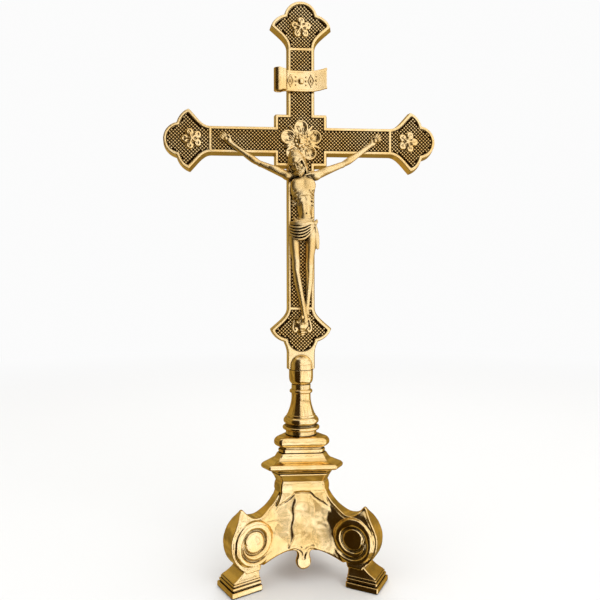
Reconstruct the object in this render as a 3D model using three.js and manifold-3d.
// Altar cross: a cast brass cross with a figure, on a turned stem and a three-footed scroll base.
// Millimetres, +Z up, front towards -Y. The origin is the middle of the bounding box, on the floor.

import * as THREE from 'three';
import { mergeVertices } from 'three/addons/utils/BufferGeometryUtils.js';
import Module from 'manifold-3d';

const wasm = await Module();
wasm.setup();

// ---- driving dimensions ----

const GAP = 0.3;                    // clearance kept between touching pieces
const TOTAL_HEIGHT = 380;
const CROSS_CENTRE_Z = 287.3;       // height of the crossing of the arms
const ARM_REACH = 90.8;             // from the crossing to the tip of a side arm
const ARM_WIDTH = 17.2;             // front face of shaft and arms
const CENTRE_BLOCK = 34;            // side of the square at the crossing
const END_LENGTH = 30.6;            // from divider rib to tip of every lobed end
const END_CORNER = { along: 14, across: 19.8 };
const END_NOTCH = { along: 21.8, across: 10.7 };
const LOBE_RADIUS = 11;
const LOBE_STEPS = 6;
const PLATE_THICKNESS = 6.4;
const PLATE_DRAFT = 1.0;            // the back outline is this much larger on every side
const RIM = 1.8;
const FIELD_DEPTH = 0.9;
const RIB_HALF = 0.9;
const TOP_RIB_DROP = 1.3;           // the rib under the top end sits this much lower than the others

const FOOT_END_DIVIDER_Z = 175;     // divider rib of the lower lobed end
const CROSS_FOOT_Z = 134.3;         // where the cross stands on its socket
const DOME_RADIUS = 7.9;
const DOME_CENTRE_Z = 137;

const BASE_TOP_Z = 67.8;
const CORNICE = { bottom: BASE_TOP_Z + GAP, top: 80.2 };
const CUSHION = { bottom: CORNICE.top + GAP, top: 91 };
const RING = { bottom: CUSHION.top + GAP, top: 97.4 };
const BALUSTER = { bottom: RING.top + GAP, top: 124.2 };
const SOCKET = { bottom: BALUSTER.top + GAP, top: CROSS_FOOT_Z - GAP };

const CORNER_CUT = 0.2;             // half width of a cut triangle corner over its distance from the axis
const BASE_WALL = 4.4;              // measured at the corners of the triangle
const BASE_CEILING_Z = 55.5;
const LEG_HALF = 6.2;
const SCROLL_REACH = 55.3;          // how far the scroll swells outwards
const PLINTH = { inner: 36, outer: 57.2, half: 10.75, neck: 8.2, slab: 4.2, top: 12.5, waist: 46.5 };
const CREST = { reach: 45.4, z: 48.2 };  // the pointed leaf on top of each scroll
const VOLUTE = { radius: 14.25, reach: 39.5, z: 27.8, proud: 1.0 };
const TONGUE = { half: 5, bottom: 9.2 };

const ROD_RADIUS = 3;
const ROD_HOLE = ROD_RADIUS + GAP;
const ROD = { bottom: 45, top: 142.4 };
const WASHER = { radius: 7, thickness: 0.8 };
const NUT = { flats: 10, thickness: 5 };

const HAND = { x: 49.5, z: 286.8 };
const FEET_NAIL_Z = 169.5;
const NAIL = { shank: 0.6, head: 1.25 };
const FOOT_REST = { top: 169, half: 6.6, drop: 5.2, depth: 4.4 };
const TITULUS = { z: 326, height: 13.8, sheet: 1.1, rivet: 1.2 };
const ROSETTE_FROM_TIP = 18.6;
const SMALL_ROSETTE = { radius: 6.6, thickness: 1.6 };
const CENTRE_ROSETTE = { radius: 14.4, thickness: 2.6, z: CROSS_CENTRE_Z - 1 };

const FIRST_LEG = -150;             // degrees, then every 120 degrees
const FRONT = -PLATE_THICKNESS / 2;
const FIELD = FRONT + FIELD_DEPTH;

// ---- materials ----

const brass = () => new THREE.MeshStandardMaterial({ color: 0xd7a545, roughness: 0.22, metalness: 1 });
const agedBrass = () => new THREE.MeshStandardMaterial({ color: 0xb98a38, roughness: 0.35, metalness: 1 });
const steel = () => new THREE.MeshStandardMaterial({ color: 0xb9bcc0, roughness: 0.4, metalness: 1 });

// ---- solids ----

function toSolid(geometry) {
  const bare = geometry.clone();
  bare.deleteAttribute('normal');
  bare.deleteAttribute('uv');
  const merged = mergeVertices(bare, 1e-4);
  return new wasm.Manifold(new wasm.Mesh({
    numProp: 3,
    vertProperties: Float32Array.from(merged.attributes.position.array),
    triVerts: Uint32Array.from(merged.index.array),
  }));
}

function toGeometry(solid) {
  const mesh = solid.getMesh();
  const geometry = new THREE.BufferGeometry();
  geometry.setAttribute('position', new THREE.BufferAttribute(mesh.vertProperties, 3));
  geometry.setIndex(new THREE.BufferAttribute(mesh.triVerts, 1));
  return geometry;
}

function placed(geometry, matrix) {
  return toSolid(geometry.clone().applyMatrix4(matrix));
}

const union = (solids) => solids.reduce((sum, solid) => sum.add(solid));

function moved(x, y, z) {
  return new THREE.Matrix4().makeTranslation(x, y, z);
}

// A flat outline drawn in X and Z, given a thickness from one Y to another.
function slab(shape, yFront, yBack, curveSegments = 12) {
  const geometry = new THREE.ExtrudeGeometry(shape, {
    depth: yBack - yFront, bevelEnabled: false, curveSegments,
  });
  geometry.rotateX(Math.PI / 2);
  geometry.translate(0, yBack, 0);
  return geometry;
}

function polygon(points) {
  return new THREE.Shape(points.map(([x, y]) => new THREE.Vector2(x, y)));
}

function rodSolid(radius, bottom, top, segments = 16) {
  const geometry = new THREE.CylinderGeometry(radius, radius, top - bottom, segments);
  geometry.rotateX(Math.PI / 2);
  geometry.translate(0, 0, (top + bottom) / 2);
  return toSolid(geometry);
}

// A pin along Y, at one X and Z.
function pinSolid(radius, yFront, yBack, x, z, segments = 10) {
  const geometry = new THREE.CylinderGeometry(radius, radius, yBack - yFront, segments);
  geometry.translate(x, (yFront + yBack) / 2, z);
  return toSolid(geometry);
}

// A turned profile: an outline in radius and height, with the rod's hole through it.
function turning(outline, bottom, top, segments = 24) {
  const points = outline.getPoints(3);
  points.unshift(new THREE.Vector2(0, bottom));
  points.push(new THREE.Vector2(0, top));
  const geometry = new THREE.LatheGeometry(points, segments);
  geometry.rotateX(Math.PI / 2);
  return toSolid(geometry).subtract(rodSolid(ROD_HOLE, bottom - 1, top + 1));
}

// Closed rings of points, joined one above the other and capped at both ends. Rings are convex.
function loft(rings) {
  const count = rings[0].length;
  const positions = rings.flat().flatMap((p) => [p.x, p.y, p.z]);
  const index = [];
  for (let level = 0; level < rings.length - 1; level += 1) {
    for (let i = 0; i < count; i += 1) {
      const a = level * count + i;
      const b = level * count + ((i + 1) % count);
      index.push(a, b, b + count, a, b + count, a + count);
    }
  }
  for (let i = 1; i < count - 1; i += 1) {
    const last = (rings.length - 1) * count;
    index.push(0, i + 1, i, last, last + i, last + i + 1);
  }
  const geometry = new THREE.BufferGeometry();
  geometry.setAttribute('position', new THREE.Float32BufferAttribute(positions, 3));
  geometry.setIndex(index);
  return geometry;
}

// A triangle with cut corners, its corners pointing along the three legs.
function triangleRing(reach, z) {
  const points = [];
  for (let leg = 0; leg < 3; leg += 1) {
    const angle = THREE.MathUtils.degToRad(FIRST_LEG + 120 * leg);
    for (const side of [-1, 1]) {
      const across = side * CORNER_CUT * reach;
      points.push(new THREE.Vector3(
        reach * Math.cos(angle) - across * Math.sin(angle),
        reach * Math.sin(angle) + across * Math.cos(angle),
        z,
      ));
    }
  }
  return points;
}

// A triangular moulding: an outline of corner distance against height.
function moulding(outline, divisions = 4) {
  return toSolid(loft(outline.getPoints(divisions).map((p) => triangleRing(p.x, p.y))));
}

// ---- the cross ----

// One side of a lobed end, from the divider rib to the tip: along the arm, and across it.
function lobedEnd(halfWidth) {
  const corner = new THREE.Vector2(END_CORNER.along, END_CORNER.across);
  const notch = new THREE.Vector2(END_NOTCH.along, END_NOTCH.across);
  const start = new THREE.Vector2(0, halfWidth);
  const sweep = new THREE.CubicBezierCurve(
    start,
    new THREE.Vector2(5.2, halfWidth + 0.2),
    new THREE.Vector2(8.4, corner.y - 6.2),
    corner,
  );
  const shoulder = new THREE.CubicBezierCurve(
    corner,
    new THREE.Vector2(17.4, corner.y - 1.2),
    new THREE.Vector2(20.6, notch.y + 4.8),
    notch,
  );
  const lobeCentre = END_LENGTH - LOBE_RADIUS;
  const first = Math.atan2(notch.y, notch.x - lobeCentre);
  const lobe = [];
  for (let step = 1; step <= LOBE_STEPS; step += 1) {
    const angle = first * (1 - step / LOBE_STEPS);
    lobe.push(new THREE.Vector2(
      lobeCentre + LOBE_RADIUS * Math.cos(angle),
      LOBE_RADIUS * Math.sin(angle),
    ));
  }
  return [...sweep.getPoints(5), ...shoulder.getPoints(4).slice(1), ...lobe];
}

// Both sides of a lobed end, in order, for an arm that points along a direction.
function endOutline(angle, dividerDistance, centre) {
  const side = lobedEnd(ARM_WIDTH / 2);
  const whole = [
    ...side.map((p) => new THREE.Vector2(p.x, -p.y)),
    ...side.slice(0, -1).reverse(),
  ];
  return whole.map((p) => new THREE.Vector2(p.x + dividerDistance, p.y)
    .rotateAround(new THREE.Vector2(), angle).add(centre));
}

const crossing = new THREE.Vector2(0, CROSS_CENTRE_Z);
const SIDE_ROSETTE = ARM_REACH - ROSETTE_FROM_TIP;
const SIDE_DIVIDER = ARM_REACH - END_LENGTH;
const TOP_DIVIDER = TOTAL_HEIGHT - CROSS_CENTRE_Z - END_LENGTH;
const LOWER_DIVIDER = CROSS_CENTRE_Z - FOOT_END_DIVIDER_Z;

function blockCorner(quarter) {
  const half = CENTRE_BLOCK / 2;
  const arm = ARM_WIDTH / 2;
  const turn = quarter * Math.PI / 2;
  return [[half, arm], [half, half], [arm, half]].map(([x, y]) => (
    new THREE.Vector2(x, y).rotateAround(new THREE.Vector2(), turn).add(crossing)
  ));
}

function crossOutline() {
  return [
    ...endOutline(0, SIDE_DIVIDER, crossing),
    ...blockCorner(0),
    ...endOutline(Math.PI / 2, TOP_DIVIDER, crossing),
    ...blockCorner(1),
    ...endOutline(Math.PI, SIDE_DIVIDER, crossing),
    ...blockCorner(2),
    ...endOutline(-Math.PI / 2, LOWER_DIVIDER, crossing),
    ...blockCorner(3),
  ];
}

function distanceToOutline(point, outline) {
  let nearest = Infinity;
  for (let i = 0; i < outline.length; i += 1) {
    const segment = new THREE.Line3(
      new THREE.Vector3(outline[i].x, outline[i].y, 0),
      new THREE.Vector3(outline[(i + 1) % outline.length].x, outline[(i + 1) % outline.length].y, 0),
    );
    const from = new THREE.Vector3(point.x, point.y, 0);
    const foot = segment.closestPointToPoint(from, true, new THREE.Vector3());
    nearest = Math.min(nearest, foot.distanceTo(from));
  }
  return nearest;
}

// The outline moved inwards by a distance, without the loops that sharp corners would leave.
function insetOutline(outline, distance) {
  const count = outline.length;
  const inset = outline.map((point, i) => {
    const before = point.clone().sub(outline[(i + count - 1) % count]).normalize();
    const after = outline[(i + 1) % count].clone().sub(point).normalize();
    const bisector = new THREE.Vector2(-before.y - after.y, before.x + after.x).normalize();
    const lean = bisector.x * -before.y + bisector.y * before.x;
    return point.clone().addScaledVector(bisector, distance / Math.max(lean, 0.3));
  });
  return inset.filter((point) => distanceToOutline(point, outline) > distance - 0.02);
}

// The plate, with its sides drafted so that the back is larger than the front.
function draftedPlate(front) {
  const count = front.length;
  const back = front.map((point, i) => {
    const before = point.clone().sub(front[(i + count - 1) % count]).normalize();
    const after = front[(i + 1) % count].clone().sub(point).normalize();
    const outward = new THREE.Vector2(before.y + after.y, -before.x - after.x).normalize();
    const lean = outward.x * before.y - outward.y * before.x;
    return point.clone().addScaledVector(outward, PLATE_DRAFT / Math.max(lean, 0.5));
  });
  const positions = [];
  front.forEach((p) => positions.push(p.x, FRONT, p.y));
  back.forEach((p) => positions.push(p.x, -FRONT, p.y));
  const index = [];
  THREE.ShapeUtils.triangulateShape(front, []).forEach(([a, b, c]) => index.push(a, b, c));
  THREE.ShapeUtils.triangulateShape(back, []).forEach(([a, b, c]) => {
    index.push(count + a, count + c, count + b);
  });
  for (let i = 0; i < count; i += 1) {
    const next = (i + 1) % count;
    index.push(i, count + i, count + next, i, count + next, next);
  }
  const geometry = new THREE.BufferGeometry();
  geometry.setAttribute('position', new THREE.Float32BufferAttribute(positions, 3));
  geometry.setIndex(index);
  return toSolid(geometry);
}

// Bars across the arms that part the lobed ends from the straight fields.
function dividerRibs() {
  const long = ARM_WIDTH + 8;
  const across = new THREE.BoxGeometry(long, PLATE_THICKNESS, 2 * RIB_HALF);
  const upright = new THREE.BoxGeometry(2 * RIB_HALF, PLATE_THICKNESS, long);
  return union([
    placed(across, moved(0, 0, CROSS_CENTRE_Z + TOP_DIVIDER - TOP_RIB_DROP)),
    placed(across, moved(0, 0, FOOT_END_DIVIDER_Z)),
    placed(upright, moved(-SIDE_DIVIDER, 0, CROSS_CENTRE_Z)),
    placed(upright, moved(SIDE_DIVIDER, 0, CROSS_CENTRE_Z)),
  ]);
}

// The straight shaft under the lower lobed end, and the round dome that caps the stem.
function crossFoot() {
  const back = ARM_WIDTH / 2 + PLATE_DRAFT;
  const top = FOOT_END_DIVIDER_Z - 16;
  const shaft = toSolid(loft([CROSS_FOOT_Z, top].map((z) => [
    new THREE.Vector3(-ARM_WIDTH / 2, FRONT, z),
    new THREE.Vector3(ARM_WIDTH / 2, FRONT, z),
    new THREE.Vector3(back, -FRONT, z),
    new THREE.Vector3(-back, -FRONT, z),
  ])));
  const outline = new THREE.Path();
  outline.moveTo(DOME_RADIUS, CROSS_FOOT_Z);
  outline.lineTo(DOME_RADIUS, DOME_CENTRE_Z);
  outline.absarc(0, DOME_CENTRE_Z, DOME_RADIUS, 0, Math.PI / 2 - 0.02, false);
  const points = outline.getPoints(5);
  points.unshift(new THREE.Vector2(0, CROSS_FOOT_Z));
  points.push(new THREE.Vector2(0, DOME_CENTRE_Z + DOME_RADIUS));
  const dome = new THREE.LatheGeometry(points, 24);
  dome.rotateX(Math.PI / 2);
  return shaft.add(toSolid(dome));
}

function crossSolid() {
  const outline = crossOutline();
  const recess = toSolid(slab(new THREE.Shape(insetOutline(outline, RIM)), FRONT - 1, FIELD));
  return draftedPlate(outline)
    .add(crossFoot())
    .subtract(recess.subtract(dividerRibs()))
    .subtract(rodSolid(ROD_HOLE, CROSS_FOOT_Z - 1, ROD.top + GAP))
    .subtract(pinSolid(NAIL.shank + GAP, FRONT - 1, 0, -HAND.x, HAND.z))
    .subtract(pinSolid(NAIL.shank + GAP, FRONT - 1, 0, HAND.x, HAND.z))
    .subtract(pinSolid(NAIL.shank + GAP, FRONT - 1, 0, 0, FEET_NAIL_Z))
    .subtract(pinSolid(TITULUS.rivet + GAP, FRONT - 1, -FRONT + 1, 0, TITULUS.z));
}

// ---- ornaments on the cross ----

// Five round petals about a boss; the first petal points along the given direction.
function rosette({ radius, thickness }, direction, x, z) {
  const petal = new THREE.CylinderGeometry(radius * 0.4, radius * 0.36, thickness, 11);
  const boss = new THREE.CylinderGeometry(radius * 0.42, radius * 0.34, thickness * 1.4, 12);
  const y = FIELD - GAP - thickness / 2;
  const solids = [placed(boss, moved(x, y - thickness * 0.2, z))];
  for (let i = 0; i < 5; i += 1) {
    const angle = THREE.MathUtils.degToRad(direction + 72 * i);
    const reach = radius * 0.62;
    solids.push(placed(petal, moved(x + reach * Math.cos(angle), y, z + reach * Math.sin(angle))));
  }
  return union(solids);
}

// A sheet that rolls up at its left end and bends forward at its right end, drawn in X and Y.
function titulusSheet() {
  const centre = new THREE.CatmullRomCurve3([
    new THREE.Vector3(-13.6, -6.3, 0),
    new THREE.Vector3(-15.6, -8.2, 0),
    new THREE.Vector3(-17.4, -6.2, 0),
    new THREE.Vector3(-14.6, -3.9, 0),
    new THREE.Vector3(-9.5, -5.4, 0),
    new THREE.Vector3(-3, -4.6, 0),
    new THREE.Vector3(5, -4.4, 0),
    new THREE.Vector3(11.5, -5.8, 0),
    new THREE.Vector3(16.8, -8.6, 0),
  ]);
  const points = centre.getPoints(26);
  const half = TITULUS.sheet / 2;
  const sides = [1, -1].map((side) => points.map((point, i) => {
    const next = points[Math.min(i + 1, points.length - 1)];
    const previous = points[Math.max(i - 1, 0)];
    const along = next.clone().sub(previous).normalize();
    return new THREE.Vector2(point.x - side * half * along.y, point.y + side * half * along.x);
  }));
  const geometry = new THREE.ExtrudeGeometry(new THREE.Shape([...sides[0], ...sides[1].reverse()]), {
    depth: TITULUS.height, bevelEnabled: false,
  });
  geometry.translate(0, 0, TITULUS.z - TITULUS.height / 2);
  return toSolid(geometry).subtract(pinSolid(TITULUS.rivet + GAP, -8, 0, 0, TITULUS.z));
}

function titulusRivet() {
  const back = -FRONT + GAP;
  const shank = pinSolid(TITULUS.rivet, -6, back, 0, TITULUS.z);
  const frontHead = pinSolid(2.1, -6.2, -5.4, 0, TITULUS.z);
  const backHead = pinSolid(2.4, back, back + 1, 0, TITULUS.z);
  return union([shank, frontHead, backHead]);
}

function nail(x, z, headY) {
  const head = new THREE.CylinderGeometry(NAIL.head, NAIL.head * 0.7, 0.8, 12);
  head.rotateX(Math.PI);
  return placed(head, moved(x, headY - 0.4, z)).add(pinSolid(NAIL.shank, headY - 0.1, -0.4, x, z));
}

function footRest() {
  const outline = new THREE.Shape();
  outline.moveTo(-FOOT_REST.half, FOOT_REST.top);
  outline.absarc(0, FOOT_REST.top - FOOT_REST.drop, FOOT_REST.half, Math.PI, 2 * Math.PI, false);
  outline.lineTo(FOOT_REST.half, FOOT_REST.top);
  const back = FRONT - GAP;
  const ledge = toSolid(slab(outline, back - FOOT_REST.depth, back, 8));
  return ledge.subtract(pinSolid(NAIL.shank + GAP, -20, 0, 0, FEET_NAIL_Z));
}

// ---- the figure ----

// A limb that tapers between two rounded ends.
function limb(from, to, fromRadius, toRadius) {
  const start = new THREE.Vector3(...from);
  const end = new THREE.Vector3(...to);
  const length = start.distanceTo(end);
  const outline = new THREE.Path();
  outline.absarc(0, 0, fromRadius, -Math.PI / 2 + 0.01, 0, false);
  outline.absarc(0, length, toRadius, 0, Math.PI / 2 - 0.01, false);
  const points = outline.getPoints(2);
  points.unshift(new THREE.Vector2(0, -fromRadius));
  points.push(new THREE.Vector2(0, length + toRadius));
  const geometry = new THREE.LatheGeometry(points, 8);
  const turn = new THREE.Quaternion().setFromUnitVectors(
    new THREE.Vector3(0, 1, 0),
    end.sub(start).normalize(),
  );
  return placed(geometry, new THREE.Matrix4().compose(start, turn, new THREE.Vector3(1, 1, 1)));
}

function ellipsoid(centre, radii) {
  const geometry = new THREE.SphereGeometry(1, 10, 7);
  geometry.rotateX(Math.PI / 2);
  geometry.scale(...radii);
  return placed(geometry, moved(...centre));
}

function arm(side) {
  const shoulder = [side * 9, -7.6, 262.2];
  const elbow = [side * 28, -6.4, 270.6];
  const wrist = [side * 44, -5.2, 282.6];
  return union([
    limb(shoulder, elbow, 3, 2.2),
    limb(elbow, wrist, 2.2, 1.6),
    limb(wrist, [side * 51, -4.9, 288], 1.7, 1.3),
  ]);
}

function leg(hip, knee, ankle, toes) {
  return union([
    limb(hip, knee, 3.9, 2.7),
    limb(knee, ankle, 2.7, 1.8),
    limb(ankle, toes, 1.8, 1.4),
  ]);
}

function corpusSolid() {
  const body = union([
    ellipsoid([-3.6, -12.2, 270.8], [5.2, 5.6, 7.2]),
    limb([0, -8, 262], [-3, -10.5, 268], 3, 2.8),
    ellipsoid([0.4, -8.6, 255], [9.2, 5, 9.6]),
    ellipsoid([0.8, -8, 241], [7, 4.4, 11]),
    ellipsoid([0.8, -8.2, 227.5], [9, 5.6, 7]),
    limb([8.6, -8.4, 229], [9.6, -7.6, 218], 1.8, 1.4),
    arm(-1),
    arm(1),
    leg([-4.2, -8.4, 226], [-3.8, -12.2, 204], [1.5, -11.3, 171], [1.4, -12.8, 166.2]),
    leg([5.4, -8.4, 226], [4.9, -11.8, 204], [3, -9.8, 172.5], [-1.6, -11.2, 166.4]),
  ]);
  const behind = new THREE.BoxGeometry(140, 20, 160);
  const backY = FRONT - GAP + 10;
  const restGap = new THREE.BoxGeometry(2 * FOOT_REST.half + 1, 20, 12);
  const restY = FRONT - GAP - FOOT_REST.depth - GAP + 10;
  const rosetteGap = new THREE.BoxGeometry(34, 20, 30);
  return body
    .subtract(placed(behind, moved(0, backY, 225)))
    .subtract(placed(restGap, moved(0, restY, FOOT_REST.top - 5.5)))
    .subtract(placed(rosetteGap, moved(0, FIELD - 4.2 + 10, CROSS_CENTRE_Z)))
    .subtract(pinSolid(NAIL.shank + GAP, -20, 0, -HAND.x, HAND.z))
    .subtract(pinSolid(NAIL.shank + GAP, -20, 0, HAND.x, HAND.z))
    .subtract(pinSolid(NAIL.shank + GAP, -20, 0, 0, FEET_NAIL_Z));
}

// ---- the stem ----

function ringSolid() {
  const outline = new THREE.Path();
  outline.moveTo(10, RING.bottom);
  outline.lineTo(10, RING.bottom + 1);
  outline.quadraticCurveTo(12.6, RING.bottom + 1.2, 12.55, RING.bottom + 3.2);
  outline.quadraticCurveTo(12.4, RING.top - 1, 10.2, RING.top);
  return turning(outline, RING.bottom, RING.top);
}

function balusterSolid() {
  const bottom = BALUSTER.bottom;
  const outline = new THREE.Path();
  outline.moveTo(10.2, bottom);
  outline.quadraticCurveTo(12, bottom + 1, 11.9, bottom + 2.6);
  outline.quadraticCurveTo(11.6, bottom + 5, 9.8, bottom + 6.4);
  outline.bezierCurveTo(8.4, bottom + 9.6, 6.6, bottom + 14, 6.45, bottom + 17.4);
  outline.lineTo(6.45, bottom + 20.8);
  outline.lineTo(7.3, bottom + 21.1);
  outline.quadraticCurveTo(8, bottom + 22, 7.3, bottom + 22.9);
  outline.lineTo(6.45, bottom + 23.2);
  outline.lineTo(6.45, BALUSTER.top);
  return turning(outline, BALUSTER.bottom, BALUSTER.top);
}

function socketSolid() {
  const outline = new THREE.Path();
  outline.moveTo(6.5, SOCKET.bottom);
  outline.quadraticCurveTo(8, SOCKET.bottom + 1.4, 8.05, SOCKET.bottom + 4);
  outline.lineTo(8.1, SOCKET.top);
  return turning(outline, SOCKET.bottom, SOCKET.top);
}

// ---- the base ----

function cushionSolid() {
  const outline = new THREE.Path();
  outline.moveTo(16.2, CUSHION.bottom);
  outline.lineTo(16.6, CUSHION.bottom + 2.2);
  outline.lineTo(15.9, CUSHION.bottom + 3.8);
  outline.bezierCurveTo(20.6, CUSHION.bottom + 4.6, 20.4, CUSHION.top - 0.8, 17, CUSHION.top);
  return moulding(outline).subtract(rodSolid(ROD_HOLE, CUSHION.bottom - 1, CUSHION.top + 1));
}

function corniceSolid() {
  const lip = 73.4;
  const outline = new THREE.Path();
  outline.moveTo(20.8, CORNICE.bottom);
  outline.lineTo(24.6, 70.9);
  outline.quadraticCurveTo(28.2, 71.2, 28.2, lip);
  outline.lineTo(27.6, lip + 0.9);
  outline.bezierCurveTo(21.6, lip + 1.6, 18.4, CORNICE.top - 3.6, 17.2, CORNICE.top);
  return moulding(outline).subtract(rodSolid(ROD_HOLE, CORNICE.bottom - 1, CORNICE.top + 1));
}

// The sweeping triangular body of the base, as corner distance against height.
function bodyOutline(inset, bottom, top) {
  const outline = new THREE.Path();
  outline.moveTo(33.6 - inset, bottom);
  outline.bezierCurveTo(33 - inset, 20, 28.5 - inset, 34, 22.8 - inset, 46);
  outline.bezierCurveTo(20.4 - inset, 51, 18.4 - inset, 55, 18.2 - inset, top);
  return outline;
}

function bodyShell() {
  const neck = BASE_TOP_Z - 7.6;
  const outline = bodyOutline(0, TONGUE.bottom, neck);
  outline.lineTo(18.6, neck + 0.6);
  outline.quadraticCurveTo(18.4, neck + 5.4, 20.8, BASE_TOP_Z);
  return moulding(outline, 5);
}

// The open arch under one face, on both sides of the hanging tongue.
function archCutter() {
  const { half, bottom } = TONGUE;
  const outline = new THREE.Shape();
  outline.moveTo(-50, 0);
  outline.lineTo(-50, PLINTH.top - 0.5);
  outline.lineTo(-25.8, PLINTH.top - 0.5);
  outline.quadraticCurveTo(-12, 20.4, -half - 2.6, 20.6);
  outline.quadraticCurveTo(-half + 1, 20.4, -half + 1, 16);
  outline.lineTo(-half, bottom + half);
  outline.absarc(0, bottom + half, half, Math.PI, 2 * Math.PI, false);
  outline.lineTo(half - 1, 16);
  outline.quadraticCurveTo(half - 1, 20.4, half + 2.6, 20.6);
  outline.quadraticCurveTo(12, 20.4, 25.8, PLINTH.top - 0.5);
  outline.lineTo(50, PLINTH.top - 0.5);
  outline.lineTo(50, 0);
  return toSolid(slab(outline, -60, -8, 5));
}

// A leg drawn from the side: ridge, valley, pointed crest, outer scroll and stepped plinth.
function legSide() {
  const { inner, outer, slab: slabTop, top, waist } = PLINTH;
  const shape = new THREE.Shape();
  shape.moveTo(inner, 0);
  shape.lineTo(outer - 0.6, 0);
  shape.lineTo(outer, 0.6);
  shape.lineTo(outer, slabTop);
  shape.lineTo(outer - 2.4, slabTop + 0.4);
  shape.lineTo(outer - 3.2, slabTop + 2);
  shape.quadraticCurveTo(waist + 1.6, slabTop + 4, waist, top);
  shape.bezierCurveTo(waist + 5, 16, SCROLL_REACH, 22, SCROLL_REACH, 30);
  shape.bezierCurveTo(SCROLL_REACH, 37, CREST.reach + 3, CREST.z - 5, CREST.reach, CREST.z);
  shape.quadraticCurveTo(CREST.reach - 1.6, 44, CREST.reach - 5, 42.8);
  shape.quadraticCurveTo(36, 42, 31, 43.2);
  shape.bezierCurveTo(24, 45.4, 20.8, 50, 19, 56.5);
  shape.lineTo(12, 57);
  shape.lineTo(12, 26);
  shape.lineTo(inner, top);
  return shape;
}

// The same leg drawn from its outer end: wide plinth, narrow waist, scroll and slim crest.
function legEnd() {
  const { half, neck, slab: slabTop, top } = PLINTH;
  const halfOutline = [
    [half - 0.6, 0], [half, 0.6], [half, slabTop], [half - 2, slabTop + 0.4],
    [half - 2.6, slabTop + 2], [neck + 0.4, top - 2.4], [neck, top], [LEG_HALF, top + 2],
    [LEG_HALF, 37], [3.9, 47], [3.6, 58],
  ];
  const mirrored = halfOutline.map(([x, z]) => [-x, z]).reverse();
  return polygon([...halfOutline, ...mirrored]);
}

// One leg, standing along +X.
function legSolid() {
  const side = toSolid(slab(legSide(), -PLINTH.half - 1, PLINTH.half + 1, 5));
  const end = slab(legEnd(), 0, 80, 6);
  end.rotateZ(-Math.PI / 2);
  const disc = new THREE.CylinderGeometry(VOLUTE.radius, VOLUTE.radius, 2 * (LEG_HALF + VOLUTE.proud), 28);
  return side.intersect(toSolid(end)).add(placed(disc, moved(VOLUTE.reach, 0, VOLUTE.z)));
}

function tripodSolid() {
  const thirds = [0, 120, 240];
  const arches = union(thirds.map((turn) => archCutter().rotate([0, 0, turn])));
  const legs = union(thirds.map((turn) => legSolid().rotate([0, 0, FIRST_LEG + turn])));
  const cavity = moulding(bodyOutline(BASE_WALL, -1, BASE_CEILING_Z), 5);
  return bodyShell()
    .subtract(arches)
    .add(legs)
    .subtract(cavity)
    .subtract(rodSolid(ROD_HOLE, BASE_CEILING_Z - 1, BASE_TOP_Z + 1));
}

// ---- fastening ----

function washerSolid() {
  const top = BASE_CEILING_Z - GAP;
  return rodSolid(WASHER.radius, top - WASHER.thickness, top, 24)
    .subtract(rodSolid(ROD_HOLE, top - 3, top + 1));
}

function nutSolid() {
  const top = BASE_CEILING_Z - 2 * GAP - WASHER.thickness;
  const across = NUT.flats / Math.sqrt(3);
  return rodSolid(across, top - NUT.thickness, top, 6)
    .subtract(rodSolid(ROD_HOLE, top - NUT.thickness - 1, top + 1));
}

// ---- assembly ----

const altarCross = new THREE.Group();
const assembly = new THREE.Group();
altarCross.add(assembly);

function addPiece(name, solid, material) {
  const mesh = new THREE.Mesh(toGeometry(solid), material);
  mesh.name = name;
  assembly.add(mesh);
}

addPiece('tripod_base', tripodSolid(), brass());
addPiece('base_cornice', corniceSolid(), brass());
addPiece('base_cushion', cushionSolid(), brass());
addPiece('stem_ring', ringSolid(), brass());
addPiece('stem_baluster', balusterSolid(), brass());
addPiece('stem_socket', socketSolid(), brass());
addPiece('cross', crossSolid(), agedBrass());
addPiece('rosette_center', rosette(CENTRE_ROSETTE, 90, 0, CENTRE_ROSETTE.z), brass());
addPiece('rosette_top', rosette(SMALL_ROSETTE, 90, 0, TOTAL_HEIGHT - ROSETTE_FROM_TIP), brass());
addPiece('rosette_left', rosette(SMALL_ROSETTE, 180, -SIDE_ROSETTE, CROSS_CENTRE_Z), brass());
addPiece('rosette_right', rosette(SMALL_ROSETTE, 0, SIDE_ROSETTE, CROSS_CENTRE_Z), brass());
addPiece('titulus', titulusSheet(), brass());
addPiece('titulus_rivet', titulusRivet(), brass());
addPiece('corpus', corpusSolid(), brass());
addPiece('foot_rest', footRest(), brass());
addPiece('nail_hand_left', nail(-HAND.x, HAND.z, -6.7), brass());
addPiece('nail_hand_right', nail(HAND.x, HAND.z, -6.7), brass());
addPiece('nail_feet', nail(0, FEET_NAIL_Z, -13.6), brass());
addPiece('tie_rod', rodSolid(ROD_RADIUS, ROD.bottom, ROD.top), steel());
addPiece('tie_rod_washer', washerSolid(), steel());
addPiece('tie_rod_nut', nutSolid(), steel());

// The stem's axis is not the middle of the three-footed base, so the whole is moved to centre its box.
const box = new THREE.Box3().setFromObject(assembly);
assembly.position.y = -(box.min.y + box.max.y) / 2;

export default altarCross;
